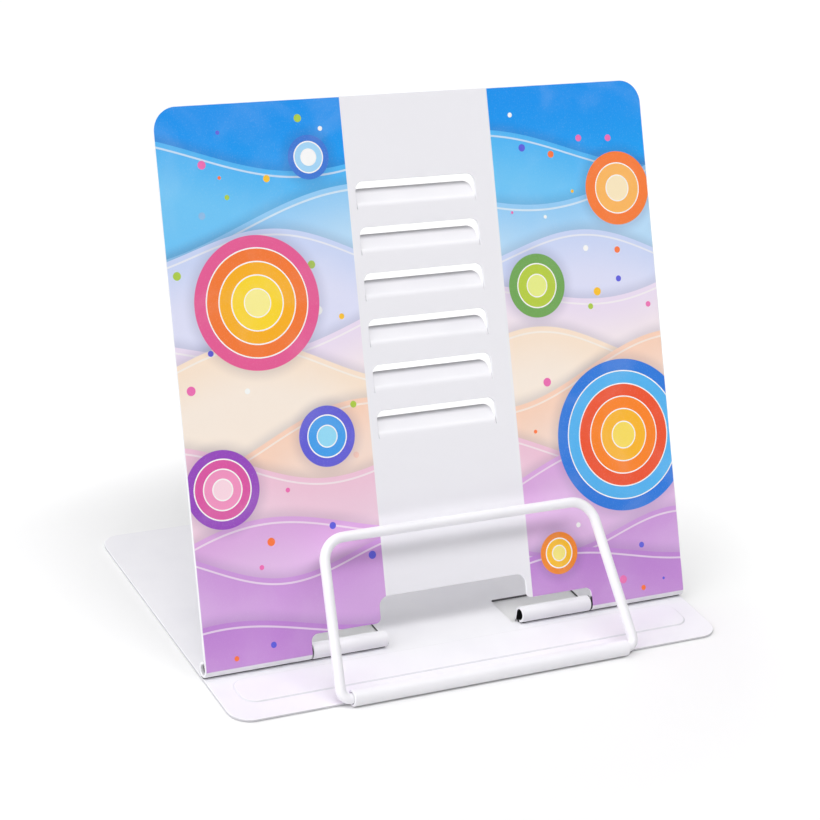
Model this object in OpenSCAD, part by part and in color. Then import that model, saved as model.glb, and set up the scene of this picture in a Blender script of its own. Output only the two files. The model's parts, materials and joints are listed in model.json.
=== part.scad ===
// Folding book stand of stamped sheet steel, with a wire bail in front and a wire leg behind.
// X runs across the stand, Y to the rear and Z up.
// The origin is on the underside of the base, below the middle of the main hinge.

/* [Stand] */
// Width of the base and the panel, which lie flush at the sides
stand_w = 200; // [170:1:260]

/* [Sheet and wire] */
// Thickness of the steel sheet
sheet = 1; // [0.8:0.1:1.5]
// Diameter of the wire in the bail, the leg and the hinge pins
wire_d = 3.8; // [2.8:0.1:4.6]
// Inside radius of a tight bend in the sheet
bend_r = 0.5; // [0.3:0.1:1]
// Bend radius of the wire at the feet of the bail and the leg, on its centreline
foot_bend = 3.4; // [2.5:0.1:6]
// Length of the foot that lies inside a rolled tube
foot_len = 18; // [10:1:24]

/* [Clearances] */
// Radial play of a wire that turns in a rolled tube
turn_play = 0.08; // [0.04:0.01:0.1]
// Radial play of a pin that is held in the hem
held_play = 0.02; // [0.01:0.01:0.04]
// Gap between a raised tube and the plate below it
tube_lift = 0.2; // [0.15:0.05:0.8]
// Gap between the end of a tube and the hem or wire beside it
end_gap = 0.5; // [0.3:0.1:1]
// Gap between the bar of the leg and the tongue and panel that it props
seat_gap = 0.4; // [0.3:0.05:0.8]

/* [Base plate] */
// Distance from the main hinge to the front edge
base_front = 30.2; // [27:0.1:45]
// Distance from the main hinge to the rear edge
base_rear = 105; // [98:1:140]
// Corner radius of the base
base_corner = 8; // [3:0.5:15]
// Distance from the side edge to the raised panel in front of the hinge
rise_side = 8.4; // [6:0.2:30]
// Distance from the main hinge to the front of the raised panel
rise_front = 20; // [16:0.5:22]
// Distance from the main hinge to the rear of the raised panel
rise_rear = 5.5; // [4.5:0.5:8]
// Height of the raised panel above the plate
rise_h = 0.45; // [0.2:0.05:0.6]
// Corner radius of the raised panel
rise_corner = 5; // [2:0.5:6]

/* [Hinge tubes] */
// Distance from the middle to the inner end of a hinge tube
tube_in = 28.2; // [20:0.1:36]
// Length of a hinge tube
tube_len = 29.8; // [20:0.1:34]
// Width of the slot on each side of a tab's root
slot_w = 2.4; // [1:0.1:3]
// Reach of those slots in front of the root
slot_reach = 0.8; // [0.5:0.1:1.5]
// Corner radius of the windows that the tabs leave
window_corner = 0.9; // [0.3:0.1:1]
// Length of a hinge pin inside its tube
pin_in_tube = 18; // [10:1:19]
// Distance from the side edge of the panel to the end of a pin
pin_inset = 1; // [0.5:0.1:4]

/* [Back panel] */
// Height of the panel along its slope, from the hem to the top edge
panel_h = 200; // [180:1:260]
// Radius of the top corners
panel_corner = 9; // [3:0.5:20]
// Lean of the panel to the rear, from upright
lean = 24.5; // [18:0.5:30]
// Open angle between the hem's free edge and the sheet
hem_open = 70; // [40:5:85]
// Height of the panel's lower edge above the hinge axis, over the tubes
edge_rise = 6.2; // [5:0.1:9]
// Corner radius of that cut-out
edge_corner = 2.5; // [1:0.1:4]
// Width of the notch in the lower edge
notch_w = 61; // [40:1:80]
// Height of the notch above the hinge axis
notch_rise = 15.5; // [13:0.5:24]
// Radius of the upper corners of the notch
notch_corner = 3.5; // [2:0.5:6]
// Radius of the lips on either side of the notch
lip_corner = 2; // [1:0.5:3]

/* [Tongues] */
// Number of tongues
tongue_n = 6; // [3:1:6]
// Width of a tongue's slot
tongue_w = 49; // [36:1:60]
// Height of a tongue's slot along the panel
tongue_h = 8.7; // [7:0.1:10]
// Gap between each side of a tongue and its slot
tongue_gap = 0.5; // [0.3:0.1:1]
// Amount by which a tongue is shorter than its slot
tongue_trim = 1.2; // [1.2:0.1:2]
// Angle by which a tongue is bent to the rear
tongue_bend = 36; // [28:1:38]
// Corner radius of a tongue
tongue_corner = 3; // [1:0.5:3.5]
// Distance from the hinge axis up the panel to the lowest bend
tongue_first = 73.9; // [65:0.1:76]
// Distance from one bend to the next
tongue_pitch = 16.66; // [14:0.02:22]

/* [Page bail] */
// Length of the rolled tube along the front edge
roll_w = 113; // [90:1:140]
// Reach of the roll's axis in front of the plate's front edge
roll_out = 0.8; // [0.5:0.1:3]
// Open angle between the roll's free edge and the plate
roll_open = 65; // [60:1:80]
// Width of the bail at its bar, on the wire's centreline
bail_top_w = 110.4; // [80:0.2:130]
// Length of the bail from its pivot to its bar
bail_len = 56.5; // [45:0.5:64]
// Lean of the bail to the rear, from upright
bail_lean = 40; // [30:0.5:44]
// Bend radius of the bail's upper corners
bail_corner = 9; // [5:0.5:16]

/* [Support leg] */
// Distance from the rear edge of the base to the leg's pivot
leg_inset = 30; // [24:1:34]
// Width of the leg, on the wire's centreline
leg_w = 65; // [55:1:80]
// Bend radius of the leg's upper corners
leg_corner = 8; // [5:0.5:14]

/* [Hidden] */
$fn = 64;
coat_white = "white";
print_blue = "lightblue";
bare_steel = "silver";

stand_half = stand_w / 2;

// Wire: lap of a straight run into a bend, and how much thicker a bend is
lap = 0.1;
swell = 0.04;

// Rolled tubes: bore radii, outer radius and heights
wire_r = wire_d / 2;
turn_r = wire_r + turn_play;
held_r = wire_r + held_play;
tube_r = turn_r + sheet;
axis_z = sheet + tube_lift + tube_r;

// Raised tubes: a tab bent up at its root and rolled forward over the axis
tab_turn = 270;
bend_z = sheet + bend_r;
root_y = turn_r - bend_r;
neck_h = axis_z - bend_z;
tab_flat = (90 * (bend_r + sheet / 2) + tab_turn * (turn_r + sheet / 2)) * PI / 180 + neck_h;
tube_out = tube_in + tube_len;
hem_in = tube_out + end_gap;

// Back panel
panel_rise = 90 - lean;
panel_top = panel_h - held_r - sheet;

// Page bail
roll_y = -base_front - roll_out;
roll_half = roll_w / 2;
bail_foot = roll_half + end_gap + foot_bend;

// Support leg: its bar lies below the lowest tongue, against the back of the panel
leg_y = base_rear - leg_inset;
leg_half = leg_w / 2;
leg_tube = leg_half - foot_bend - end_gap;
seat_r = wire_r + seat_gap;
seat_up = tongue_first - seat_r * tan(tongue_bend / 2);
seat_out = held_r - seat_r;
seat_y = seat_up * cos(panel_rise) - seat_out * sin(panel_rise);
seat_z = seat_up * sin(panel_rise) + seat_out * cos(panel_rise);
leg_len = norm([leg_y - seat_y, seat_z]);
leg_lean = atan2(leg_y - seat_y, seat_z);

// Rectangle from corner a to corner b with round corners
module round_rect(a, b, r) {
    translate([a[0] + r, a[1]]) square([b[0] - a[0] - 2 * r, b[1] - a[1]]);
    translate([a[0], a[1] + r]) square([b[0] - a[0], b[1] - a[1] - 2 * r]);
    for (x = [a[0] + r, b[0] - r], y = [a[1] + r, b[1] - r])
        translate([x, y]) circle(r);
}

// Rectangle that stands on the X axis, with round upper corners
module arch_rect(w, h, r) {
    round_rect([-w / 2, 0], [w / 2, h], r);
    translate([-w / 2, 0]) square([w, h - r]);
}

// Wedge between two angles
module wedge(r, a0, a1) {
    polygon([[0, 0], for (a = [a0, (a0 + a1) / 2, a1]) r * [cos(a), sin(a)]]);
}

// Wall of a rolled tube, open between two angles
module curl(bore_r, a0, a1) {
    outer_r = bore_r + sheet;
    difference() {
        circle(outer_r);
        circle(bore_r);
        wedge(2 * outer_r, a0, a1);
    }
}

// Stretches a profile drawn in Y and Z along X
module along_x(x0, x1) {
    translate([x0, 0, 0]) rotate([90, 0, 90]) linear_extrude(x1 - x0) children();
}

// Tab that rises from the plate and rolls forward into a tube over y = 0
module tab_profile() {
    translate([0, axis_z]) curl(turn_r, tab_turn, 360);
    translate([turn_r, bend_z]) square([sheet, neck_h]);
    translate([root_y, bend_z]) intersection() {
        difference() {
            circle(bend_r + sheet);
            circle(bend_r);
        }
        wedge(2 * (bend_r + sheet), -90, 0);
    }
}

// Window that such a tab leaves in the plate, with a slot on each side of its root
module tab_window(x0, x1) {
    slot_y = root_y - slot_reach;
    difference() {
        round_rect([x0 - slot_w, slot_y], [x1 + slot_w, root_y + tab_flat], window_corner);
        translate([x0, slot_y]) square([x1 - x0, slot_reach]);
    }
}

// Outline of the raised panel in the base, drawn in by a margin
module rise_outline(margin) {
    half = stand_half - rise_side - margin;
    round_rect([-half, -rise_front + margin], [half, -rise_rear - margin], rise_corner - margin);
}

// Base: one sheet with two hinge tubes, a tube for the leg and a rolled front edge
module base_plate() {
    color(coat_white) {
        difference() {
            linear_extrude(sheet) difference() {
                round_rect([-stand_half, -base_front], [stand_half, base_rear], base_corner);
                tab_window(tube_in, tube_out);
                tab_window(-tube_out, -tube_in);
                translate([0, leg_y]) tab_window(-leg_tube, leg_tube);
            }
            translate([0, 0, -sheet]) linear_extrude(sheet + rise_h) rise_outline(sheet);
        }
        translate([0, 0, sheet]) linear_extrude(rise_h) rise_outline(0);
        along_x(tube_in, tube_out) tab_profile();
        along_x(-tube_out, -tube_in) tab_profile();
        translate([0, leg_y, 0]) along_x(-leg_tube, leg_tube) tab_profile();
        along_x(-roll_half, roll_half) {
            translate([roll_y, 0]) square([roll_out, sheet]);
            translate([roll_y, tube_r]) curl(turn_r, -90, roll_open - 90);
        }
    }
}

// Places what is drawn flat, with its hinge axis on X, on the leaning panel
module on_panel() {
    translate([0, 0, axis_z]) rotate([panel_rise, 0, 0]) children();
}

// Outline of the panel's sheet, with its cut-outs
module panel_outline() {
    difference() {
        arch_rect(stand_w, panel_top, panel_corner);
        round_rect([-hem_in, -edge_rise], [hem_in, edge_rise], edge_corner);
        round_rect([-notch_w / 2, -notch_rise], [notch_w / 2, notch_rise], notch_corner);
        for (side = [0, 1]) mirror([side, 0]) translate([notch_w / 2, edge_rise]) difference() {
            square(lip_corner);
            translate([lip_corner, lip_corner]) circle(lip_corner);
        }
        for (i = [0 : tongue_n - 1])
            translate([0, tongue_first + i * tongue_pitch]) arch_rect(tongue_w, tongue_h, tongue_corner);
    }
}

// One tongue, bent to the rear about a line in the panel's back face, with its root in the sheet
module tongue() {
    width = tongue_w - 2 * tongue_gap;
    tip = (tongue_h - tongue_trim) * [cos(tongue_bend), -sin(tongue_bend)];
    front_tip = tip + sheet * [sin(tongue_bend), cos(tongue_bend)];
    front_bend = [sheet * tan(tongue_bend / 2), sheet];
    intersection() {
        along_x(-width / 2, width / 2)
            polygon([[-sheet, 0], [0, 0], tip, front_tip, front_bend, [-sheet, sheet]]);
        translate([0, -sheet, -tongue_h]) linear_extrude(tongue_h + 2 * sheet)
            arch_rect(width, front_tip[0] + sheet, tongue_corner);
    }
}

// Back panel: one sheet with six tongues, hemmed to the rear on both sides of the tubes
module back_panel() {
    color(print_blue) on_panel() {
        translate([0, 0, held_r]) linear_extrude(sheet) panel_outline();
        for (side = [0, 1]) mirror([side, 0, 0])
            along_x(hem_in, stand_half) curl(held_r, 90 - hem_open, 90);
        for (i = [0 : tongue_n - 1])
            translate([0, tongue_first + i * tongue_pitch, held_r]) tongue();
    }
}

// Hinge pin on the right: held in the hem, turning in the tube
module right_hinge_pin() {
    x0 = tube_out - pin_in_tube;
    color(bare_steel) translate([x0, 0, axis_z]) rotate([0, 90, 0])
        cylinder(d = wire_d, h = stand_half - pin_inset - x0);
}

module left_hinge_pin() {
    mirror([1, 0, 0]) right_hinge_pin();
}

// Wire along flat points, with a bend radius at each; every bend turns left
// The bends are a hair thicker than the straight runs, which lap into them
module bent_wire(points, radii) {
    last = len(points) - 1;
    runs = [for (i = [0 : last - 1]) points[i + 1] - points[i]];
    heads = [for (run = runs) atan2(run[1], run[0])];
    turns = [for (i = [0 : last]) i == 0 || i == last ? 0 : (heads[i] - heads[i - 1] + 360) % 360];
    cuts = [for (i = [0 : last]) radii[i] * tan(turns[i] / 2) - (turns[i] > 0 ? lap : 0)];
    for (i = [0 : last - 1])
        translate(points[i]) rotate([0, 0, heads[i]]) translate([cuts[i], 0, 0]) rotate([0, 90, 0])
            cylinder(d = wire_d, h = norm(runs[i]) - cuts[i] - cuts[i + 1]);
    for (i = [1 : last - 1])
        translate(points[i]) rotate([0, 0, heads[i - 1]]) translate([-cuts[i] - lap, radii[i], 0])
            rotate([0, 0, -90]) rotate_extrude(angle = turns[i]) translate([radii[i], 0])
                circle(d = wire_d + swell);
}

// Flat wire loop that pivots on X, with its feet turned inward
module wire_loop(foot, top, length, foot_end, corner) {
    bent_wire(
        [[foot_end, 0], [foot, 0], [top, length], [-top, length], [-foot, 0], [-foot_end, 0]],
        [0, foot_bend, corner, corner, foot_bend, 0]
    );
}

// Page bail: the wire in front that holds the pages
module page_bail() {
    color(coat_white) translate([0, roll_y, tube_r]) rotate([90 - bail_lean, 0, 0])
        wire_loop(bail_foot, bail_top_w / 2, bail_len, roll_half - foot_len, bail_corner);
}

// Support leg: the wire behind that props the panel
module support_leg() {
    color(coat_white) translate([0, leg_y, axis_z]) rotate([90 + leg_lean, 0, 0])
        wire_loop(leg_half, leg_half, leg_len, leg_tube - foot_len, leg_corner);
}

base_plate();
back_panel();
left_hinge_pin();
right_hinge_pin();
page_bail();
support_leg();
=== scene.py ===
import json
import math
import bpy
import numpy as np
from mathutils import Matrix, Vector
from mathutils.geometry import delaunay_2d_cdt


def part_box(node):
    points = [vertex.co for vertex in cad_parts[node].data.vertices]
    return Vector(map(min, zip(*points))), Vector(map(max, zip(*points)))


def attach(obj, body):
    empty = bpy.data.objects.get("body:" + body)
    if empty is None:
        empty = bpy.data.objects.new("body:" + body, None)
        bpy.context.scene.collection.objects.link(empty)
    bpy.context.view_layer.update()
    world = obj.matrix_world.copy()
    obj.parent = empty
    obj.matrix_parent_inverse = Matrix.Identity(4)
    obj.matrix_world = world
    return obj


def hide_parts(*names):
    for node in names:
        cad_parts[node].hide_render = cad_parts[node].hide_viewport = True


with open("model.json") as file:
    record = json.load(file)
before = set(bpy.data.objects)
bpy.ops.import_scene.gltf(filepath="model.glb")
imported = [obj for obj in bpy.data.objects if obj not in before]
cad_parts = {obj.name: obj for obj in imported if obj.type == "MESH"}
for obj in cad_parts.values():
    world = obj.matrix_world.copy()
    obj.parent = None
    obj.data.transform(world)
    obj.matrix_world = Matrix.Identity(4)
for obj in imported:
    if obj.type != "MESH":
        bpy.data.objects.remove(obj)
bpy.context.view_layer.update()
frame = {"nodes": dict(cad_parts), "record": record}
print("frame loaded:", len(frame["nodes"]), "nodes")

mm = 0.001  # the pieces are drawn in millimetres


# one output socket of a node tree: sums on it add Math nodes, node() adds anything else
class Link:
    def __init__(self, tree, socket=None):
        self.tree = tree
        self.socket = socket

    def node(self, kind, settings=None, inputs=None, out=0):
        made = self.tree.nodes.new(kind)
        for key, value in (settings or {}).items():
            if key == "stops":  # a ramp's colours, each from its place on
                ramp = made.color_ramp
                ramp.interpolation = "CONSTANT"
                ramp.elements.remove(ramp.elements[1])
                ramp.elements[0].position, ramp.elements[0].color = value[0]
                for place, colour in value[1:]:
                    ramp.elements.new(place).color = colour
            elif key == "items":  # how many an index switch has
                for _ in range(value - len(made.index_switch_items)):
                    made.index_switch_items.new()
            else:
                setattr(made, key, value)
        for key, value in (inputs or {}).items():
            if isinstance(value, Link):
                self.tree.links.new(value.socket, made.inputs[key])
            else:
                made.inputs[key].default_value = value
        return Link(self.tree, made.outputs[out] if made.outputs else None)

    # another output of the same node
    def pick(self, name):
        return Link(self.tree, self.socket.node.outputs[name])

    def maths(self, operation, *values):
        return self.node("ShaderNodeMath", {"operation": operation}, dict(enumerate(values)))

    def __add__(self, other):
        return self.maths("ADD", self, other)

    __radd__ = __add__

    def __sub__(self, other):
        return self.maths("SUBTRACT", self, other)

    def __rsub__(self, other):
        return self.maths("SUBTRACT", other, self)

    def __mul__(self, other):
        return self.maths("MULTIPLY", self, other)

    __rmul__ = __mul__

    def __truediv__(self, other):
        return self.maths("DIVIDE", self, other)

    def __neg__(self):
        return self.maths("MULTIPLY", self, -1)

    def size(self):
        return self.maths("ABSOLUTE", self)

    def wave(self):
        return self.maths("SINE", self)

    def root(self):
        return self.maths("SQRT", self)

    def least(self, other):
        return self.maths("MINIMUM", self, other)

    def most(self, other):
        return self.maths("MAXIMUM", self, other)

    # length of a step that goes this far one way and that far across it
    def reach(self, other):
        return (self * self + other * other).root()

    # 0 below low, 1 above high
    def rise(self, low, high):
        return self.node("ShaderNodeMapRange", {"interpolation_type": "SMOOTHSTEP", "clamp": True},
                         {"Value": self, "From Min": low, "From Max": high})

    # 1 below low, 0 above high
    def fall(self, low, high):
        return 1 - self.rise(low, high)

    # 1 from low to high, fading out on both sides
    def band(self, low, high, fade):
        return self.rise(low - fade, low) * self.fall(high, high + fade)

    # one colour where this is 0, another where it is 1
    def between(self, first, second):
        return self.node("ShaderNodeMix", {"data_type": "RGBA"}, {0: self, 6: first, 7: second}, out=2)

    # this colour, painted over with another where the mask is 1
    def painted(self, mask, colour):
        return mask.between(self, colour)

    # this value as one of a few colours
    def stepped(self, stops):
        return self.node("ShaderNodeValToRGB", {"stops": stops}, {"Fac": self})

    # noise at these coordinates, with grains of a size in millimetres
    def noise(self, size, detail, twist=0.0):
        return self.node("ShaderNodeTexNoise", {}, {
            "Vector": self, "Scale": 1 / (size * mm), "Detail": detail, "Distortion": twist})

    # distance along a direction, from coordinates
    def along(self, direction):
        return self.node("ShaderNodeVectorMath", {"operation": "DOT_PRODUCT"},
                         {0: self, 1: direction}, out=1)


def srgb(red, green, blue):
    def linear(value):
        value /= 255
        return value / 12.92 if value <= 0.04045 else ((value + 0.055) / 1.055) ** 2.4
    return linear(red), linear(green), linear(blue), 1


def newMaterial(name):
    made = bpy.data.materials.new(name)
    made.use_nodes = True
    made.node_tree.nodes.clear()
    start = Link(made.node_tree)
    place = start.node("ShaderNodeTexCoord", out=3)  # Object coordinates
    return made, start, place


def closeMaterial(start, shader):
    start.node("ShaderNodeOutputMaterial", {}, {"Surface": shader})


# white powder coat: a fine orange peel, a little uneven in gloss and tone
coat = {
    "white": srgb(245, 244, 248), "thin": srgb(240, 239, 244),
    "gloss": 0.4, "glossSpread": 0.1, "peelGloss": 0.05,
    "peelSize": 1.1, "peelDepth": 0.012, "peelStrength": 0.35,
    "cloudSize": 28, "cloudEdges": (0.35, 0.75),
    "shine": 0.38, "refraction": 1.5,
    "clear": 0.1, "clearGloss": 0.18,  # the clear layer over the colour
}


def coatParts(start, place):
    peel = place.noise(coat["peelSize"], detail=2.0)
    cloud = place.noise(coat["cloudSize"], detail=3.0)
    colour = cloud.rise(*coat["cloudEdges"]).between(coat["white"], coat["thin"])
    rough = coat["gloss"] + (cloud - 0.5) * coat["glossSpread"] + (peel - 0.5) * coat["peelGloss"]
    bump = start.node("ShaderNodeBump", {}, {
        "Strength": coat["peelStrength"], "Distance": coat["peelDepth"] * mm, "Height": peel})
    return colour, rough, bump


def coatShader(start, colour, rough, bump):
    return start.node("ShaderNodeBsdfPrincipled", {}, {
        "Base Color": colour, "Roughness": rough, "Normal": bump,
        "Coat Weight": coat["clear"], "Coat Roughness": coat["clearGloss"],
        "IOR": coat["refraction"], "Specular IOR Level": coat["shine"]})


def whiteCoat():
    made, start, place = newMaterial("white_powder_coat")
    closeMaterial(start, coatShader(start, *coatParts(start, place)))
    return made


# a polygon with round corners, from (x, y, radius) corners in order
def softPolygon(corners, turnStep=9.0):
    points = []
    for index, (x, y, radius) in enumerate(corners):
        before, after = corners[index - 1], corners[(index + 1) % len(corners)]
        back = math.atan2(before[1] - y, before[0] - x)
        onward = math.atan2(after[1] - y, after[0] - x)
        between = (onward - back + math.pi) % (2 * math.pi) - math.pi
        middle = back + between / 2
        far = radius / math.sin(abs(between) / 2)
        centreX, centreY = x + far * math.cos(middle), y + far * math.sin(middle)
        turn = math.copysign(math.pi - abs(between), -between)
        count = max(3, math.ceil(abs(math.degrees(turn)) / turnStep))
        begin = middle + math.pi - turn / 2
        for k in range(count + 1):
            angle = begin + turn * k / count
            points.append((centreX + radius * math.cos(angle), centreY + radius * math.sin(angle)))
    return points


# adds a point wherever a side runs through one of the levels, between low and high or just beside them
def cutAtLevels(points, levels, low, high, apart=0.02, beside=0.1):
    made = []
    for index, here in enumerate(points):
        onward = points[(index + 1) % len(points)]
        made.append(here)
        if not all(low - beside <= x <= high + beside for x in (here[0], onward[0])):
            continue
        bottom, top = sorted((here[1], onward[1]))
        found = [v for v in levels if bottom + apart < v < top - apart]
        for v in sorted(found, reverse=onward[1] < here[1]):
            share = (v - here[1]) / (onward[1] - here[1])
            made.append((here[0] + share * (onward[0] - here[0]), v))
    return made


def signedArea(points):
    p = np.array(points)
    q = np.roll(p, -1, axis=0)
    return 0.5 * float((p[:, 0] * q[:, 1] - q[:, 0] * p[:, 1]).sum())


# the way out of the metal at each point of a loop that has metal on its left
def outwardOf(points):
    p = np.array(points)
    ahead = np.roll(p, -1, axis=0) - p
    ahead /= np.linalg.norm(ahead, axis=1)[:, None]
    behind = np.roll(ahead, 1, axis=0)
    right = np.stack([ahead[:, 1], -ahead[:, 0]], 1)
    rightBehind = np.stack([behind[:, 1], -behind[:, 0]], 1)
    both = right + rightBehind
    both /= np.linalg.norm(both, axis=1)[:, None]
    stretch = 1 / np.clip((both * right).sum(1), 0.5, 1)
    return both, stretch


def insideLoops(spots, loops):
    odd = np.zeros(len(spots), bool)
    for loop in loops:
        p = np.array(loop)
        q = np.roll(p, -1, axis=0)
        for (x0, y0), (x1, y1) in zip(p, q):
            crosses = (y0 > spots[:, 1]) != (y1 > spots[:, 1])
            if crosses.any():
                at = x0 + (spots[:, 1] - y0) / (y1 - y0) * (x1 - x0)
                odd ^= crosses & (spots[:, 0] < at)
    return odd


# how near points are when they lie on one level, and when they are the same
levelNear, pointNear = 1e-5, 1e-7


# a sheet cut to flat loops, with rounded rims, then bent: lay(u, v) gives the middle of the sheet
# there and the directions across, along and out of it
def bentSheet(name, outer, holes, lay, thickness, rims, material, crossings=(), creases=(), rimSteps=4):
    loops = [outer if signedArea(outer) > 0 else outer[::-1]]
    loops += [hole if signedArea(hole) < 0 else hole[::-1] for hole in holes]
    spots, faces, facing = [], [], []   # spots hold u, v and the height in the sheet
    half = thickness / 2
    turns = [k * math.pi / 2 / rimSteps for k in range(rimSteps + 1)]
    topRing, bottomRing = [], []
    for loop in loops:
        rim = rims[1] if topRing else rims[0]
        profile = []
        for a in turns:
            aside, over = math.sin(a), math.cos(a)
            profile.append((rim * (1 - aside), half - rim * (1 - over), aside, over))
        profile += [(inset, -high, aside, -over) for inset, high, aside, over in profile[::-1]]
        p = np.array(loop)
        outward, stretch = outwardOf(loop)
        first, count = len(spots), len(p)
        for inset, high, aside, over in profile:
            ring = p - outward * (inset * stretch)[:, None]
            spots += [(u, v, high) for u, v in ring]
            facing += [(aside * a, aside * b, over) for a, b in outward]
        for row in range(len(profile) - 1):
            for k in range(count):
                a = first + row * count + k
                b = first + row * count + (k + 1) % count
                faces.append((a, a + count, b + count, b))
        topRing.append(list(range(first, first + count)))
        bottomRing.append([i + (len(profile) - 1) * count for i in topRing[-1]])
    top = [i for ring in topRing for i in ring]
    bottom = [i for ring in bottomRing for i in ring]
    flats = [spots[i][:2] for i in top]
    edges, flatLoops = [], []
    for ring in topRing:
        begin = sum(map(len, flatLoops))
        flatLoops.append(flats[begin:begin + len(ring)])
        edges += [(begin + k, begin + (k + 1) % len(ring)) for k in range(len(ring))]
    # straight lines across a bend, from rim to rim
    for low, high, levels in crossings:
        for v in levels:
            ends = [k for k, (x, y) in enumerate(flats) if low <= x <= high and abs(y - v) < levelNear]
            ends.sort(key=lambda k: flats[k][0])
            if len(ends) >= 2:
                edges.append((ends[0], ends[-1]))
    for crease in creases:
        begin = len(flats)
        flats += list(crease)
        edges += [(begin + k, begin + (k + 1) % len(crease)) for k in range(len(crease))]
        for high, over, ringList in ((half, 1, top), (-half, -1, bottom)):
            begin = len(spots)
            spots += [(u, v, high) for u, v in crease]
            facing += [(0, 0, over)] * len(crease)
            ringList += range(begin, begin + len(crease))
    made = delaunay_2d_cdt([Vector(p) for p in flats], edges, [], 0, pointNear)
    points, triangles, origin = made[0], made[2], made[3]
    assert all(origin) and len(points) == len(flats), name + ": the flat pattern crosses itself"
    index = [found[0] for found in origin]
    middles = np.array([sum((Vector(points[i]) for i in t), Vector((0, 0))) / 3 for t in triangles])
    for triangle, wanted in zip(triangles, insideLoops(middles, flatLoops)):
        if not wanted:
            continue
        a, b, c = (index[i] for i in triangle)
        faces.append((top[a], top[b], top[c]))
        faces.append((bottom[c], bottom[b], bottom[a]))
    places, normals = [], []
    for (u, v, high), (aside, forward, over) in zip(spots, facing):
        middle, across, along, out = lay(u, v)
        places.append(tuple((middle + out * high) * mm))
        normals.append(tuple((across * aside + along * forward + out * over).normalized()))
    mesh = bpy.data.meshes.new(name)
    mesh.from_pydata(places, [], faces)
    mesh.polygons.foreach_set("use_smooth", [True] * len(mesh.polygons))
    mesh.update()
    mesh.normals_split_custom_set_from_vertices(normals)
    mesh.materials.append(material)
    piece = bpy.data.objects.new(name, mesh)
    bpy.context.scene.collection.objects.link(piece)
    print(name, len(mesh.vertices), "points", len(mesh.polygons), "faces")
    return piece


# the middle line of a bent strip in the Y-Z plane: straight runs (length, 0) and arcs (radius, turn)
class BentLine:
    def __init__(self, begin, heading, parts):
        self.parts = []
        spot, angle, done = Vector(begin), math.radians(heading), 0.0
        for size, turn in parts:
            turn = math.radians(turn)
            length = abs(turn) * size if turn else size
            self.parts.append((done, length, spot.copy(), angle, size, turn))
            spot, angle = self.step(spot, angle, size, turn, length)
            done += length
        self.length = done

    def step(self, spot, angle, size, turn, far):
        if not turn:
            return spot + Vector((math.cos(angle), math.sin(angle))) * far, angle
        side = 1 if turn > 0 else -1
        swept = side * far / size
        centre = spot + side * size * Vector((-math.sin(angle), math.cos(angle)))
        arm = spot - centre
        turned = Vector((arm.x * math.cos(swept) - arm.y * math.sin(swept),
                         arm.x * math.sin(swept) + arm.y * math.cos(swept)))
        return centre + turned, angle + swept

    def at(self, far):
        for done, length, spot, angle, size, turn in self.parts:
            if far <= done + length or (done, length) == self.parts[-1][:2]:
                return self.step(spot, angle, size, turn, far - done)

    # distances at which the strip needs a line across it
    def levels(self, turnStep=8.0):
        found = []
        for done, length, _, _, _, turn in self.parts:
            count = math.ceil(abs(math.degrees(turn)) / turnStep) if turn else 1
            found += [done + length * k / count for k in range(count + 1)]
        return sorted(set(round(x, 6) for x in found))


xAxis = Vector((1, 0, 0))


def inPlane(y, z):
    return Vector((0, y, z))


# base: one sheet with tabs rolled into tubes, and a rolled front edge
base = {
    "half": 100, "front": -30.2, "rear": 105, "corner": 8, "sheet": 1.0, "rims": (0.36, 0.22),
    # the raised panel
    "riseHalf": 91.6, "riseFront": -20, "riseRear": -5.5, "riseHeight": 0.45, "riseCorner": 5,
    "riseRamp": 0.5,
    # the hinge's tubes, the leg's tube, and the windows beside their tabs
    "tubeIn": 28.2, "tubeOut": 58.0, "legY": 75, "legHalf": 28.6,
    "slot": 2.4, "slotReach": 0.8, "windowCorner": 0.9,
    # a tab: where it bends up, its neck and its roll, with turns in degrees
    "root": 1.48, "bend": 1.0, "neck": 2.68, "roll": 2.48, "rollTurn": 270, "tabCorner": 0.7, "kerf": 0.02,
    # the rolled front edge
    "edgeHalf": 56.5, "edgeAxis": -31, "edgeTurn": 295, "edgeFoot": 0.5,
}

# painted shade on the base, where the light hardly reaches
baseShade = {
    "fade": 0.1,  # an edge between two tones
    # painted shade inside the rolled tubes: y and z of each axis
    "axes": [(0, 4.18), (75, 4.18), (-31, 2.98)], "radius": 2.02, "deepShade": srgb(30, 30, 32),
    # painted shadow in the crevices below them: y of the axis, x from and to, then where the shade fades
    # across and up
    "crevices": [(0, 28.5, 101), (75, 0, 28.2)], "creviceHalf": (0.8, 1.15), "creviceTop": (1.25, 1.5),
    "creviceShade": srgb(38, 37, 40),
    # painted shade on the necks that carry them: y of the axis, x from and to
    "necks": [(0, 28.1, 58.0), (75, 0, 28.6)], "neckReach": 2.0, "neckFoot": (0.95, 1.02), "neckTop": 4.2,
    # painted shade on the cut edge all round: where the grey begins and ends in z
    "edgeLow": (0.02, 0.06), "edgeHigh": (0.86, 0.92), "rim": srgb(206, 205, 210),
    # painted shade on the edges of the windows: y from and to, x of the inner and outer side
    "windows": [(0.6, 17.6, 25.8, 60.4), (75.6, 92.6, -1, 31.0)], "windowFade": 0.2,
    "windowEdgeShade": srgb(96, 95, 98), "windowSideShade": srgb(34, 33, 36),
    # painted shade along the foot of the raised panel
    "footHalf": 0.15, "footFade": 0.25, "footTop": 1.3, "foot": srgb(222, 221, 227),
}
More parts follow.
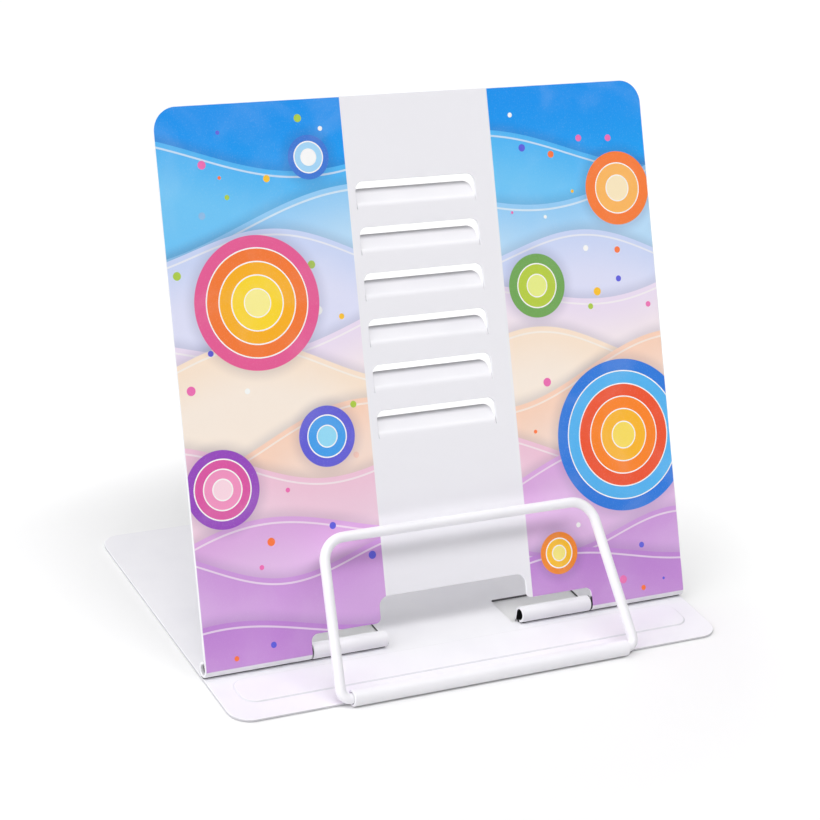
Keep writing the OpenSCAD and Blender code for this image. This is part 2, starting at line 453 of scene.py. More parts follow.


# the same coat on the base, with painted shade where the light hardly reaches
def baseCoat():
    made, start, place = newMaterial("base_powder_coat")
    colour, rough, bump = coatParts(start, place)
    fade, plate = baseShade["fade"], base["sheet"]
    x = place.along((1 / mm, 0, 0)).size()
    y, z = place.along((0, 1 / mm, 0)), place.along((0, 0, 1 / mm))
    abovePlate = z.rise(plate - fade, plate - fade / 2)
    # painted shade inside the rolled tubes
    for axisY, axisZ in baseShade["axes"]:
        inBore = (y - axisY).reach(z - axisZ).fall(baseShade["radius"], baseShade["radius"] + fade)
        colour = colour.painted(inBore, baseShade["deepShade"])
    # painted shadow in the crevices under the tubes
    for axisY, inner, outer in baseShade["crevices"]:
        under = x.band(inner, outer, 2 * fade) * (y - axisY).size().fall(*baseShade["creviceHalf"])
        colour = colour.painted(under * abovePlate * z.fall(*baseShade["creviceTop"]), baseShade["creviceShade"])
    # painted shade on the necks behind the tubes
    for axisY, inner, outer in baseShade["necks"]:
        within = x.band(inner, outer, fade) * (y - axisY).band(0, baseShade["neckReach"], fade)
        tall = z.rise(*baseShade["neckFoot"]) * z.fall(baseShade["neckTop"], baseShade["neckTop"] + fade)
        colour = colour.painted(within * tall, baseShade["deepShade"])
    # painted shade on the base's cut edge all round
    onEdge = z.rise(*baseShade["edgeLow"]) * z.fall(*baseShade["edgeHigh"])
    colour = colour.painted(onEdge * y.rise(base["front"] - 3 * fade, base["front"] - fade), baseShade["rim"])
    # painted shade on the windows' edges, darkest on their sides
    for front, rear, inner, outer in baseShade["windows"]:
        soft = baseShade["windowFade"]
        inWindow = y.band(front, rear, soft) * x.fall(outer + soft, outer + 2 * soft)
        atSide = x.fall(inner, inner + fade) + x.rise(outer - fade, outer)
        colour = colour.painted(onEdge * inWindow, atSide.between(baseShade["windowEdgeShade"], baseShade["windowSideShade"]))
    # painted shade along the foot of the raised panel
    middleY, corner = (base["riseFront"] + base["riseRear"]) / 2, base["riseCorner"]
    sideways = x - (base["riseHalf"] - corner)
    onward = (y - middleY).size() - ((base["riseRear"] - base["riseFront"]) / 2 - corner)
    beyond = sideways.most(0).reach(onward.most(0)) + sideways.most(onward).least(0)
    fromFoot = (beyond - corner - base["riseRamp"] / 2).size()
    foot = fromFoot.fall(baseShade["footHalf"], baseShade["footHalf"] + baseShade["footFade"]) * abovePlate
    colour = colour.painted(foot * z.fall(baseShade["footTop"], baseShade["footTop"] + 2 * fade), baseShade["foot"])
    closeMaterial(start, coatShader(start, colour, rough, bump))
    return made


def basePlate():
    b = base
    half = b["sheet"] / 2
    tabPath = BentLine((b["root"], half), 0, [(b["bend"], 90), (b["neck"], 0), (b["roll"], b["rollTurn"])])
    edgePath = BentLine((b["edgeAxis"], half), 180, [(b["roll"], -b["edgeTurn"])])
    tabs = [(b["tubeIn"], b["tubeOut"], 0), (-b["tubeOut"], -b["tubeIn"], 0),
            (-b["legHalf"], b["legHalf"], b["legY"])]
    tip = b["edgeAxis"] - edgePath.length
    outer = softPolygon([
        (-b["half"], b["front"], b["corner"]), (-b["edgeHalf"], b["front"], b["edgeFoot"]),
        (-b["edgeHalf"], tip, b["tabCorner"]), (b["edgeHalf"], tip, b["tabCorner"]),
        (b["edgeHalf"], b["front"], b["edgeFoot"]),
        (b["half"], b["front"], b["corner"]), (b["half"], b["rear"], b["corner"]),
        (-b["half"], b["rear"], b["corner"])])
    edgeLevels = [b["edgeAxis"] - far for far in edgePath.levels()]
    outer = cutAtLevels(outer, edgeLevels, -b["edgeHalf"], b["edgeHalf"])
    holes, crossings = [], [(-b["edgeHalf"], b["edgeHalf"], edgeLevels)]
    for x0, x1, shift in tabs:
        begin = shift + b["root"]
        slotEnd, tabEnd = begin - b["slotReach"], begin + tabPath.length - b["kerf"]
        windowEnd = begin + tabPath.length
        levels = [begin + far for far in tabPath.levels()]
        w = b["windowCorner"]
        hole = softPolygon([
            (x0 - b["slot"], slotEnd, w), (x0, slotEnd, w), (x0, tabEnd, b["tabCorner"]),
            (x1, tabEnd, b["tabCorner"]), (x1, slotEnd, w), (x1 + b["slot"], slotEnd, w),
            (x1 + b["slot"], windowEnd, w), (x0 - b["slot"], windowEnd, w)])
        holes.append(cutAtLevels(hole, levels, x0, x1))
        crossings.append((x0, x1, levels))

    centreV = (b["riseFront"] + b["riseRear"]) / 2
    halfV = (b["riseRear"] - b["riseFront"]) / 2

    def riseAt(u, v):
        p = abs(u) - b["riseHalf"] + b["riseCorner"]
        q = abs(v - centreV) - halfV + b["riseCorner"]
        far = math.hypot(max(p, 0), max(q, 0)) + min(max(p, q), 0) - b["riseCorner"]
        share = min(max(0.5 - far / b["riseRamp"], 0), 1)
        return b["riseHeight"] * share * share * (3 - 2 * share)

    def lay(u, v):
        close, tiny = 1e-4, 0.01
        for x0, x1, shift in tabs:
            far = v - shift - b["root"]
            if x0 - close <= u <= x1 + close and 0 < far < tabPath.length - b["kerf"] / 2:
                spot, angle = tabPath.at(far)
                along = inPlane(math.cos(angle), math.sin(angle))
                return Vector((u, spot.x + shift, spot.y)), xAxis, along, xAxis.cross(along)
        if v < b["edgeAxis"]:
            spot, angle = edgePath.at(b["edgeAxis"] - v)
            along = inPlane(-math.cos(angle), -math.sin(angle))
            return Vector((u, spot.x, spot.y)), xAxis, along, xAxis.cross(along)
        slopeU = (riseAt(u + tiny, v) - riseAt(u - tiny, v)) / (2 * tiny)
        slopeV = (riseAt(u, v + tiny) - riseAt(u, v - tiny)) / (2 * tiny)
        middle = Vector((u, v, half + riseAt(u, v)))
        across, along = Vector((1, 0, slopeU)).normalized(), Vector((0, 1, slopeV)).normalized()
        return middle, across, along, across.cross(along).normalized()

    creases, steps = [], 6
    for k in range(steps + 1):
        grow = b["riseRamp"] * (k / steps - 0.5)
        h, r = b["riseHalf"] + grow, b["riseCorner"] + grow
        creases.append(softPolygon([(-h, b["riseFront"] - grow, r), (h, b["riseFront"] - grow, r),
                                    (h, b["riseRear"] + grow, r), (-h, b["riseRear"] + grow, r)]))
    return bentSheet("base_sheet", outer, holes, lay, b["sheet"], b["rims"], coatBase, crossings, creases)


# the panel's frame: hinge axis height, slope and the faces of its sheet
slope = {"axisHeight": 4.18, "rise": math.radians(65.5), "bore": 1.92, "sheet": 1.0}
upSlope = (0, math.cos(slope["rise"]), math.sin(slope["rise"]))
outFront = (0, -math.sin(slope["rise"]), math.cos(slope["rise"]))

# back panel: one sheet, hemmed below and with tongues bent to the rear
panel = {
    "half": 100, "top": 197.08, "corner": 9, "rims": (0.36, 0.2), "hemIn": 58.5, "hemTurn": 290,
    # the lower edge over the tubes, and the notch in its middle
    "edgeRise": 6.2, "edgeCorner": 2.5, "notchHalf": 30.5, "notchRise": 15.5, "notchCorner": 3.5,
    "lipCorner": 2.0,
    # the tongues from the lowest up, their slots, and the cut round each
    "tongues": 6, "tongueFirst": 73.9, "tonguePitch": 16.66, "slotHalf": 24.5, "slotHeight": 8.7,
    "gap": 0.2, "tongueCorner": 3.0, "tongueBend": 36, "tongueLength": 7.5, "bendRadius": 4.0,
    "gapRound": 0.09, "relief": 0.2, "tipCorner": 0.7,
}

# printed sheet: ink on the front face only, with an uninked strip in the middle, a little darker than the
# white coat as painted shade
printed = {
    "stripMiddle": 2.65, "stripHalf": 30.35, "stripLine": 0.9, "strip": srgb(243, 242, 247),
    "margin": 0.35, "lowest": -1.0,  # the bare edge round the ink, and where the ink ends below
    "crisp": 0.08, "rimFade": 0.1, "lowFade": 0.15,  # soft edges of the ink: inside, at the rims, below
    "ground": ((20, 166, 246), (0, 146, 240)), "groundFade": (150, 200),
    # paper-cut ribbons from the back to the front: height of the edge, its tilt, wave height, wave length,
    # phase, then the colour at the edge and further down
    "ribbons": [
        (176, -0.05, 7, 150, 0.4, (78, 184, 248), (112, 200, 250)),
        (158, 0.06, 9, 170, 2.6, (150, 208, 250), (188, 224, 252)),
        (139, -0.08, 8, 128, 4.4, (206, 218, 250), (226, 228, 252)),
        (118, 0.05, 7, 142, 1.2, (240, 226, 246), (250, 238, 242)),
        (101, -0.05, 8, 118, 5.4, (254, 232, 210), (254, 240, 226)),
        (83, 0.09, 8, 134, 3.2, (254, 214, 190), (252, 226, 212)),
        (65, -0.07, 7, 122, 0.9, (244, 200, 220), (246, 214, 230)),
        (48, 0.08, 8, 146, 4.9, (224, 172, 228), (232, 194, 236)),
        (31, -0.06, 7, 112, 2.2, (208, 154, 222), (218, 172, 230)),
        (14, 0.05, 6, 138, 5.9, (194, 134, 214), (206, 152, 222)),
    ],
    "ribbonFade": 20,
    "shadow": srgb(70, 60, 120), "shadowReach": 5.0, "shadowFull": 6.0, "shadowDepth": 0.24,
    "lineAt": 2.1, "lineHalf": 0.28, "lineSoft": 0.15, "lineDepth": 0.55, "line": srgb(255, 252, 250),
    # ringed discs: across, up, radius, rings from the middle outward
    "discs": [
        (79, 62, 29, ((255, 226, 96), (255, 186, 40), (255, 134, 30), (240, 84, 44), (84, 182, 244),
                      (40, 122, 222))),
        (-67, 126, 24, ((255, 244, 150), (255, 218, 44), (252, 178, 26), (246, 122, 50), (232, 92, 150))),
        (-45, 76, 11, ((150, 222, 250), (66, 160, 238), (96, 92, 214))),
        (-87, 62, 14, ((255, 220, 232), (246, 150, 196), (222, 86, 164), (150, 70, 190))),
        (47, 122, 12, ((236, 242, 140), (186, 208, 66), (112, 166, 84))),
        (86, 156, 14, ((255, 236, 196), (255, 186, 96), (250, 126, 56))),
        (-42, 176, 8, ((255, 255, 255), (168, 218, 252), (60, 120, 214))),
        (46, 21, 8, ((255, 240, 130), (255, 196, 40), (246, 140, 40))),
    ],
    "ringLine": 0.45,
    # scattered dots: room that each has, how far they scatter in it, largest radius, least share of that,
    # share of places that hold one, distance from the rims
    "dotRoom": 13.0, "dotScatter": 0.7, "dotMost": 1.7, "dotLeast": 0.3, "dotShare": 0.5, "dotFade": 0.01,
    "dotClear": 3.0,
    "dots": ((255, 198, 40), (255, 122, 60), (255, 255, 252), (92, 92, 220), (240, 110, 180),
             (176, 206, 70)),
    "grainSize": 0.5, "grainEdges": (0.5, 0.8), "worn": 0.05,
    "washSize": 22, "washTwist": 0.6, "washEdges": (0.45, 0.75),
    # painted shadow on the front of the tongues, towards their tips, where the slot above shades them
    "tip": srgb(150, 149, 153), "tipReach": 2.8, "tipDepth": 0.6, "tipBehind": (1.4, 1.9),
    # painted shade at the ends of the hem, in the gaps beside the tubes
    "hemHalf": 0.1, "hemFade": 0.16, "hemTop": (2.4, 3.0), "hemEndShade": srgb(34, 33, 36),
}


def inkedArt(start, place, across, up):
    p, crisp = printed, printed["crisp"]

    # the shadow that a paper-cut shape throws on what lies behind it
    def shaded(art, depth):
        mask = (depth + p["shadowReach"]).rise(0, p["shadowFull"]) * p["shadowDepth"]
        return art.painted(mask, p["shadow"])

    art = up.rise(*p["groundFade"]).between(*(srgb(*shade) for shade in p["ground"]))

    for level, tilt, swing, length, phase, edge, deep in p["ribbons"]:
        wave = (across * (2 * math.pi / length) + phase).wave() * swing
        depth = wave + across * tilt + level - up
        body = depth.rise(0, p["ribbonFade"]).between(srgb(*edge), srgb(*deep))
        line = (depth - p["lineAt"]).size().fall(p["lineHalf"], p["lineHalf"] + p["lineSoft"])
        body = body.painted(line * p["lineDepth"], p["line"])
        art = shaded(art, depth).painted(depth.rise(-crisp, crisp), body)

    # scattered dots, one to a cell at most
    room, clear, least = p["dotRoom"], p["dotClear"], 1 - p["dotShare"]
    flat = start.node("ShaderNodeCombineXYZ", {}, {"X": across / room, "Y": up / room})
    cells = start.node("ShaderNodeTexVoronoi", {"voronoi_dimensions": "2D"},
                       {"Vector": flat, "Scale": 1.0, "Randomness": p["dotScatter"]})
    chance = start.node("ShaderNodeSeparateColor", {}, {"Color": cells.pick("Color")})
    held = chance.pick("Blue").rise(least - p["dotFade"], least)
    spot = cells.pick("Position")
    dotAcross, dotUp = spot.along((room, 0, 0)), spot.along((0, room, 0))
    fromRim = (panel["half"] - dotAcross.size()).least(panel["top"] - dotUp).least(dotUp - p["lowest"])
    fromStrip = (dotAcross - p["stripMiddle"]).size() - p["stripHalf"]
    held = held * fromRim.least(fromStrip).rise(clear - p["rimFade"], clear)
    share = chance.pick("Red") * (1 - p["dotLeast"]) + p["dotLeast"]
    inDot = (share * p["dotMost"] - cells.pick("Distance") * room).rise(-crisp, crisp)
    stops = [(k / len(p["dots"]), srgb(*shade)) for k, shade in enumerate(p["dots"])]
    art = art.painted(inDot * held, chance.pick("Green").stepped(stops))

    for x, high, radius, rings in p["discs"]:
        far = (across - x).reach(up - high)
        depth, stops = radius - far, []
        for k, shade in enumerate(rings):
            inner = k / len(rings)
            if k:
                stops.append((inner, p["line"]))
                inner += p["ringLine"] / radius
            stops.append((inner, srgb(*shade)))
        art = shaded(art, depth).painted(depth.rise(-crisp, crisp), (far / radius).stepped(stops))

    # a light wash and the grain of the ink
    wash = place.noise(p["washSize"], detail=4.0, twist=p["washTwist"]).rise(*p["washEdges"])
    grain = place.noise(p["grainSize"], detail=2.0).rise(*p["grainEdges"])
    return art.painted((wash + grain) * p["worn"], (1, 1, 1, 1))


def printedCoat():
    made, start, place = newMaterial("printed_powder_coat")
    colour, rough, bump = coatParts(start, place)
    p, fade, lowFade, corner = printed, printed["rimFade"], printed["lowFade"], panel["corner"]
    across = place.along((1 / mm, 0, 0))
    up = place.along(tuple(x / mm for x in upSlope)) - slope["axisHeight"] * upSlope[2]
    out = place.along(tuple(x / mm for x in outFront)) - slope["axisHeight"] * outFront[2]
    front = slope["bore"] + slope["sheet"]
    onFront = out.rise(front - 3 * fade, front - p["crisp"])

    # ink: on the front face, inside the rim, outside the strip
    sideways = across.size() - (panel["half"] - corner)
    upward = up - (panel["top"] - corner)
    inside = corner - p["margin"] - sideways.most(0).reach(upward.most(0))
    offStrip = (across - p["stripMiddle"]).size() - p["stripHalf"]
    ink = inside.rise(-fade, fade) * offStrip.rise(-fade, fade)
    ink = ink * (up - p["lowest"]).rise(-lowFade, lowFade)
    # the strip: the white coat a little darker, as painted shade
    strip = offStrip.fall(-p["stripLine"] - lowFade, -p["stripLine"])
    colour = colour.painted(strip * onFront, p["strip"])
    colour = colour.painted(ink * onFront, inkedArt(start, place, across, up))

    # painted shadow on the tips of the tongues, by distance along each and ahead of its middle
    bend = math.radians(panel["tongueBend"])
    past = start.maths("MODULO", up - panel["tongueFirst"], panel["tonguePitch"])
    behind = front - slope["sheet"] / 2 - out
    along = past * math.cos(bend) + behind * math.sin(bend)
    ahead = past * math.sin(bend) - behind * math.cos(bend)
    tip = along.rise(panel["tongueLength"] - p["tipReach"], panel["tongueLength"])
    tip = tip * behind.rise(*p["tipBehind"]) * ahead.rise(-fade, 2 * fade)
    colour = colour.painted(tip * p["tipDepth"], p["tip"])

    # painted shade at the ends of the hem, beside the tubes
    hemEndShade = (across.size() - panel["hemIn"]).size().fall(p["hemHalf"], p["hemHalf"] + p["hemFade"])
    colour = colour.painted(hemEndShade * up.fall(*p["hemTop"]), p["hemEndShade"])
    closeMaterial(start, coatShader(start, colour, rough, bump))
    return made


def backPanel():
    p = panel
    t = slope["sheet"]
    sheetMiddle = slope["bore"] + t / 2
    hemPath = BentLine((0, sheetMiddle), 180, [(sheetMiddle, p["hemTurn"])])
    bend = math.radians(p["tongueBend"])
    tangent = p["bendRadius"] * math.tan(bend / 2)
    mitre = t / 2 * math.tan(bend / 2)
    tongueStart = mitre - tangent
    tonguePath = BentLine((0, sheetMiddle), 0, [
        (p["bendRadius"], -p["tongueBend"]), (p["tongueLength"] - mitre - tangent, 0)])
    tip = tongueStart + tonguePath.length
    hemTip, soft = -hemPath.length, p["tipCorner"]
    outer = softPolygon([
        (p["half"], hemTip, soft), (p["half"], p["top"], p["corner"]),
        (-p["half"], p["top"], p["corner"]), (-p["half"], hemTip, soft), (-p["hemIn"], hemTip, soft),
        (-p["hemIn"], p["edgeRise"], p["edgeCorner"]), (-p["notchHalf"], p["edgeRise"], p["lipCorner"]),
        (-p["notchHalf"], p["notchRise"], p["notchCorner"]),
        (p["notchHalf"], p["notchRise"], p["notchCorner"]),
        (p["notchHalf"], p["edgeRise"], p["lipCorner"]), (p["hemIn"], p["edgeRise"], p["edgeCorner"]),
        (p["hemIn"], hemTip, soft)])
    hemLevels = [-far for far in hemPath.levels()]
    crossings = [(p["hemIn"], p["half"], hemLevels), (-p["half"], -p["hemIn"], hemLevels)]
    for low, high, levels in crossings:
        outer = cutAtLevels(outer, levels, low, high)
    holes = []
    inner = p["slotHalf"] - p["gap"]
    bends = [p["tongueFirst"] + k * p["tonguePitch"] for k in range(p["tongues"])]
    for at in bends:
        foot = at + tongueStart - p["relief"]
        end = p["gapRound"]
        hole = softPolygon([
            (-p["slotHalf"], foot, end), (-inner, foot, end), (-inner, at + tip, p["tongueCorner"]),
            (inner, at + tip, p["tongueCorner"]), (inner, foot, end), (p["slotHalf"], foot, end),
            (p["slotHalf"], at + p["slotHeight"], p["tongueCorner"]),
            (-p["slotHalf"], at + p["slotHeight"], p["tongueCorner"])])
        levels = [at + tongueStart + far for far in tonguePath.levels(turnStep=5.0)]
        holes.append(cutAtLevels(hole, levels, -inner, inner))
        crossings.append((-inner, inner, levels))

    up, out = Vector(upSlope), Vector(outFront)
    axis = Vector((0, 0, slope["axisHeight"]))

    # whether a place in the flat pattern lies within a tongue's outline
    def onTongue(u, v):
        close = 1e-3
        beside, above = abs(u) - (inner - p["tongueCorner"]), v - (tip - p["tongueCorner"])
        if beside > 0 and above > 0:
            return math.hypot(beside, above) < p["tongueCorner"] + close
        return abs(u) < inner + close and v < tip + close

    def lay(u, v):
        if v < 0:
            spot, angle = hemPath.at(-v)
            along = -(up * math.cos(angle) + out * math.sin(angle))
            return axis + Vector((u, 0, 0)) + up * spot.x + out * spot.y, xAxis, along, xAxis.cross(along)
        for at in bends:
            far = v - at - tongueStart
            if far > 0 and onTongue(u, v - at):
                spot, angle = tonguePath.at(far)
                along = up * math.cos(angle) + out * math.sin(angle)
                middle = axis + Vector((u, 0, 0)) + up * (at + tongueStart + spot.x) + out * spot.y
                return middle, xAxis, along, xAxis.cross(along)
        return axis + Vector((u, 0, 0)) + up * v + out * sheetMiddle, xAxis, up, out

    return bentSheet("panel_sheet", outer, holes, lay, t, p["rims"], coatPrinted, crossings)


# pins: drawn steel wire with fine lines along it, its tones darkened as painted shade for its place inside
# the hem, rougher and less metallic at the cut ends, which are painted near black as shade
pins = {
    "inner": 40.0, "outer": 99.0,
    # the steel's two tones are darkened as painted shade for the pins' place inside the hem
    "steel": srgb(126, 127, 131), "drawn": srgb(88, 89, 94), "gloss": 0.26, "drawnGloss": 0.14,
    "lineSize": 0.16, "lineLength": 9.0, "lineEdges": (0.35, 0.7), "lineDepth": 0.01, "lineStrength": 0.25,
    "cut": srgb(40, 40, 43), "cutReach": 0.5, "cutFade": 0.1, "cutGloss": 0.3, "cutMetal": 0.3,
}


def pinSteel():
    made, start, place = newMaterial("bright_drawn_steel")
    p, fade = pins, pins["cutFade"]
    across = 1 / (p["lineSize"] * mm)
    stretched = start.node("ShaderNodeMapping", {}, {
        "Vector": place, "Scale": (1 / (p["lineLength"] * mm), across, across)})
    lines = start.node("ShaderNodeTexNoise", {}, {"Vector": stretched, "Scale": 1.0, "Detail": 3.0})
    drawn = lines.rise(*p["lineEdges"])
    x = place.along((1 / mm, 0, 0)).size()
    inner, outer = p["inner"] + p["cutReach"], p["outer"] - p["cutReach"]
    # painted shade at the cut ends, which are also rougher and less metallic
    cut = x.fall(inner - fade, inner) + x.rise(outer, outer + fade)
    colour = drawn.between(p["steel"], p["drawn"]).painted(cut, p["cut"])
    bump = start.node("ShaderNodeBump", {}, {
        "Strength": p["lineStrength"], "Distance": p["lineDepth"] * mm, "Height": lines})
    shader = start.node("ShaderNodeBsdfPrincipled", {}, {
        "Base Color": colour, "Metallic": 1 - cut * (1 - p["cutMetal"]),
        "Roughness": p["gloss"] + drawn * p["drawnGloss"] + cut * p["cutGloss"], "Normal": bump})
    closeMaterial(start, shader)
    return made


# wires: a path through a few points, its corners rounded, swept with a round section; the bail and the
# leg are loops with their feet turned in, leant about their pivots, and the pins are straight
wire = {"thick": 3.8, "footBend": 3.4, "chamfer": 0.45, "sides": 32, "bendSteps": 14}
# half width at the feet and at the bar, length, where the feet end, corners, lean in degrees
bail = {"foot": 60.4, "top": 55.2, "length": 56.5, "footEnd": 38.5, "corner": 9.0, "lean": 50.0}
leg = {"foot": 32.5, "footEnd": 10.6, "corner": 8.0}


def newTree(name, sizes):
    tree = bpy.data.node_groups.new(name, "GeometryNodeTree")
    kinds = {size: "NodeSocketFloat" for size in sizes}
    kinds.update({"Thickness": "NodeSocketFloat", "Chamfer": "NodeSocketFloat", "Pivot": "NodeSocketVector",
                  "Finish": "NodeSocketMaterial"})
    for label, kind in kinds.items():
        tree.interface.new_socket(name=label, in_out="INPUT", socket_type=kind)
    tree.interface.new_socket(name="Mesh", in_out="OUTPUT", socket_type="NodeSocketGeometry")
    start = Link(tree)
    return tree, start, start.node("NodeGroupInput")


# one value for each point of a path
def byPoint(start, kind, values):
    switch = {"data_type": kind, "items": len(values)}
    inputs = {k + 1: value for k, value in enumerate(values)}
    inputs[0] = start.node("GeometryNodeInputIndex")
    return start.node("GeometryNodeIndexSwitch", switch, inputs)


def sweepWire(start, given, path, bends, lean):
    places = [start.node("ShaderNodeCombineXYZ", {}, {"X": x, "Y": y}) for x, y in path]
    spots = start.node("GeometryNodePoints", {}, {
        "Count": len(path), "Position": byPoint(start, "VECTOR", places)})
    line = start.node("GeometryNodePointsToCurves", {}, {"Points": spots})
    half = given.pick("Thickness") / 2
    slim = half - given.pick("Chamfer")
    line = start.node("GeometryNodeSetCurveRadius", {}, {
        "Curve": line, "Radius": byPoint(start, "FLOAT", [slim] + [half] * (len(path) - 2) + [slim])})
    line = start.node("GeometryNodeFilletCurve", {"mode": "POLY"}, {
        "Curve": line, "Radius": byPoint(start, "FLOAT", bends), "Count": wire["bendSteps"],
        "Limit Radius": False})
    ring = start.node("GeometryNodeCurvePrimitiveCircle", {}, {"Resolution": wire["sides"], "Radius": 1.0})
    swept = start.node("GeometryNodeCurveToMesh", {}, {
        "Curve": line, "Profile Curve": ring, "Scale": start.node("GeometryNodeInputRadius"),
        "Fill Caps": True})
    turn = start.node("ShaderNodeCombineXYZ", {}, {"X": lean})
    leant = start.node("GeometryNodeTransform", {}, {
        "Geometry": swept, "Translation": given.pick("Pivot"), "Rotation": turn})
    smooth = start.node("GeometryNodeSetShadeSmooth", {}, {"Geometry": leant})
    whole = start.node("GeometryNodeRealizeInstances", {}, {"Geometry": smooth})
    done = start.node("GeometryNodeSetMaterial", {}, {"Geometry": whole, "Material": given.pick("Finish")})
    start.node("NodeGroupOutput", {}, {0: done})


def loopTree():
    tree, start, given = newTree("wire_loop", ("Foot Half", "Top Half", "Length", "Foot End", "Foot Bend",
                                               "Corner", "Lean"))
    foot, end = given.pick("Foot Half"), given.pick("Foot End")
    side = [(end, 0.0), (end + given.pick("Chamfer"), 0.0), (foot, 0.0),
            (given.pick("Top Half"), given.pick("Length"))]
    path = side + [(-x, y) for x, y in side[::-1]]
    bends = [0.0, 0.0, given.pick("Foot Bend"), given.pick("Corner")]
    sweepWire(start, given, path, bends + bends[::-1], given.pick("Lean"))
    return tree


def pinTree():
    tree, start, given = newTree("straight_pin", ("Begin", "End"))
    begin, end, chamfer = given.pick("Begin"), given.pick("End"), given.pick("Chamfer")
    path = [(begin, 0.0), (begin + chamfer, 0.0), (end - chamfer, 0.0), (end, 0.0)]
    sweepWire(start, given, path, [0.0] * len(path), 0.0)
    return tree


def grown(name, tree, sizes):
    piece = bpy.data.objects.new(name, bpy.data.meshes.new(name))
    bpy.context.scene.collection.objects.link(piece)
    modifier = piece.modifiers.new("grow", "NODES")
    modifier.node_group = tree
    for item in tree.interface.items_tree:
        if item.in_out == "INPUT":
            modifier[item.identifier] = sizes[item.name]
    seen = piece.evaluated_get(bpy.context.evaluated_depsgraph_get())
    mesh = bpy.data.meshes.new_from_object(seen)
    piece.modifiers.remove(modifier)
    piece.data = mesh
    print(name, len(mesh.vertices), "points", len(mesh.polygons), "faces")
    return piece


def pivotOf(joint):
    found = [j for j in frame["record"]["behaviour"]["joints"] if j["name"] == joint]
    return Vector(found[0]["pos_m"])


def wirePieces():
    shared = {"Thickness": wire["thick"] * mm, "Chamfer": wire["chamfer"] * mm,
              "Foot Bend": wire["footBend"] * mm}
    looped, straight = loopTree(), pinTree()
    bailWire = grown("bail_wire", looped, shared | {
        "Foot Half": bail["foot"] * mm, "Top Half": bail["top"] * mm, "Length": bail["length"] * mm,
        "Foot End": bail["footEnd"] * mm, "Corner": bail["corner"] * mm, "Lean": math.radians(bail["lean"]),
        "Pivot": pivotOf("bail_swing"), "Finish": coatWhite})
    # the leg's bar, from the box of its solid
    low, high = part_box("support_leg")
    pivot, thickness = pivotOf("leg_swing"), wire["thick"] * mm
    back, tall = pivot.y - (low[1] + thickness / 2), high[2] - thickness / 2 - pivot.z
    legWire = grown("leg_wire", looped, shared | {
        "Foot Half": leg["foot"] * mm, "Top Half": leg["foot"] * mm, "Length": math.hypot(back, tall),
        "Foot End": leg["footEnd"] * mm, "Corner": leg["corner"] * mm,
        "Lean": math.pi / 2 + math.atan2(back, tall), "Pivot": pivot, "Finish": coatWhite})
    made = [(bailWire, "bail", "page_bail", "white_coat"), (legWire, "leg", "support_leg", "white_coat")]
    for side, name in ((-1, "left"), (1, "right")):
        begin, end = sorted((side * pins["inner"] * mm, side * pins["outer"] * mm))
        pin = grown(name + "_pin", straight, shared | {
            "Begin": begin, "End": end, "Pivot": pivotOf("panel_tilt"), "Finish": steel})
        made.append((pin, "panel", name + "_hinge_pin", "pin_steel"))
    return made


coatWhite = whiteCoat()
coatBase = baseCoat()
coatPrinted = printedCoat()
steel = pinSteel()
print("materials made")

dressed = [(basePlate(), "base", "base_plate", "white_coat"),
           (backPanel(), "panel", "back_panel", "printed_panel")]
for piece, body, node, finish in dressed + wirePieces():
    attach(piece, body)
    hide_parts(node)
print("pieces made")


# stage: pale floor and soft light, with lengths in metres
stageSet = {
    "floorHalf": 4.0, "floorDrop": 0.0001, "floorShade": 0.94,
    # glow of the floor, rising from one distance to another, then again far away, and of the sky
    "floorGlow": 0.14, "glowFrom": 0.1, "glowFull": 0.2, "sky": 0.07,
    "farGlow": 0.3, "farFrom": 0.5, "farFull": 2.5,
    # a long softbox overhead: strength, how far, width and depth, direction that it shines from
    "softbox": (1.8, 4.0, 4.4, 0.9, (0.1, -0.4, 1.0)),
    # wide lamps: strength, angular size, direction that each shines from
    "lamps": {"left": (1.18, 60, (-0.85, -0.25, 0.35)), "rear": (1.26, 100, (-0.55, 0.75, 0.5)),
              "top": (0.64, 50, (-0.3, 0.1, 1.0))},
}


# 1 for rays that show the surroundings, in the camera or in a gloss
def shownRays(start):
    rays = start.node("ShaderNodeLightPath", out=0)
    return (rays + rays.pick("Is Glossy Ray") + rays.pick("Is Transmission Ray")).least(1)


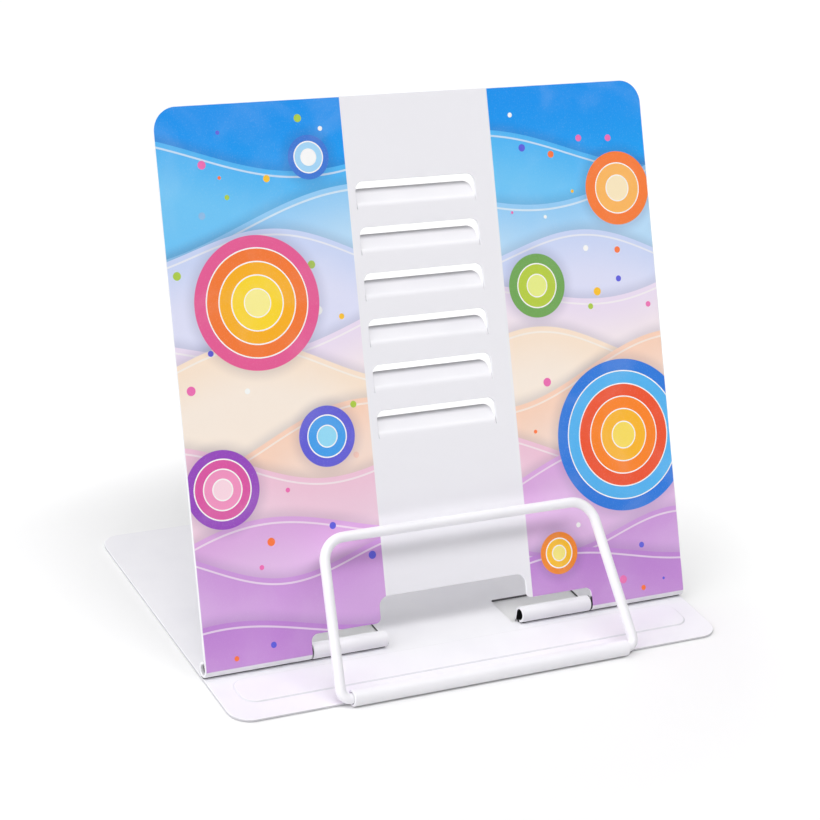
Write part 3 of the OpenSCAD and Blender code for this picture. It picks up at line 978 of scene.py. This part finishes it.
def studio():
    s = stageSet
    mesh = bpy.data.meshes.new("floor")
    h = s["floorHalf"]
    mesh.from_pydata([(-h, -h, 0), (h, -h, 0), (h, h, 0), (-h, h, 0)], [], [(0, 1, 2, 3)])
    floor = bpy.data.objects.new("floor", mesh)
    floor.location.z = -s["floorDrop"]
    bpy.context.scene.collection.objects.link(floor)
    made, start, place = newMaterial("pale_floor")
    # the floor shines a little towards the camera, but not near the part, where its shadow lies
    away = start.node("ShaderNodeVectorMath", {"operation": "LENGTH"}, {0: place}, out=1)
    level = away.rise(s["glowFrom"], s["glowFull"]) * s["floorGlow"]
    level = level + away.rise(s["farFrom"], s["farFull"]) * s["farGlow"]
    matt = start.node("ShaderNodeBsdfDiffuse", {}, {"Color": (s["floorShade"],) * 3 + (1,)})
    glow = start.node("ShaderNodeEmission", {}, {
        "Color": (1, 1, 1, 1), "Strength": shownRays(start) * level})
    closeMaterial(start, start.node("ShaderNodeAddShader", {}, {0: matt, 1: glow}))
    mesh.materials.append(made)

    world = bpy.data.worlds.new("studio")
    bpy.context.scene.world = world
    world.use_nodes = True
    world.node_tree.nodes.clear()
    start = Link(world.node_tree)
    shown = shownRays(start)
    level = shown + (1 - shown) * s["sky"]
    back = start.node("ShaderNodeBackground", {}, {"Color": (1, 1, 1, 1), "Strength": level})
    start.node("ShaderNodeOutputWorld", {}, {"Surface": back})

    def hang(lamp, shinesFrom, far=0.0):
        holder = bpy.data.objects.new(lamp.name, lamp)
        towards = Vector(shinesFrom).normalized()
        holder.location = towards * far
        holder.rotation_euler = towards.to_track_quat("Z", "Y").to_euler()
        bpy.context.scene.collection.objects.link(holder)

    strength, far, across, deep, shinesFrom = s["softbox"]
    box = bpy.data.lights.new("softbox", "AREA")
    box.shape = "RECTANGLE"
    box.size, box.size_y = across, deep
    box.energy = strength * math.pi * far ** 2  # as bright on the part as a sun of that strength
    hang(box, shinesFrom, far)
    for name, (strength, softness, shinesFrom) in s["lamps"].items():
        lamp = bpy.data.lights.new(name, "SUN")
        lamp.energy = strength
        lamp.angle = math.radians(softness)
        hang(lamp, shinesFrom)


# taken from the photograph's edges: angles in degrees, the lens in pixels, lengths in millimetres
camera = {"turn": 29.534, "down": 23.917, "roll": 6.45, "focalPixels": 2367.556, "imagePixels": 820,
          "axisAbove": 60, "distance": 813.118, "target": (-31.448, 0, 119.941),
          "sensor": 36, "sees": (10, 20000)}


def lookFrom():
    c = camera
    a, e, r = (math.radians(c[k]) for k in ("turn", "down", "roll"))
    forward = Vector((math.sin(a) * math.cos(e), math.cos(a) * math.cos(e), -math.sin(e)))
    level = Vector((math.cos(a), -math.sin(a), 0))
    above = level.cross(forward)
    right = level * math.cos(r) + above * math.sin(r)
    upward = above * math.cos(r) - level * math.sin(r)
    data = bpy.data.cameras.new("camera")
    data.sensor_width = c["sensor"]
    data.lens = c["focalPixels"] / c["imagePixels"] * data.sensor_width
    data.shift_y = -c["axisAbove"] / c["imagePixels"]
    data.clip_start, data.clip_end = (far * mm for far in c["sees"])
    view = bpy.data.objects.new("camera", data)
    bpy.context.scene.collection.objects.link(view)
    place = (Vector(c["target"]) - forward * c["distance"]) * mm
    view.matrix_world = Matrix.Translation(place) @ Matrix((right, upward, -forward)).transposed().to_4x4()
    bpy.context.scene.camera = view


studio()
lookFrom()
bpy.context.scene.view_settings.view_transform = "Standard"
print("stage set")
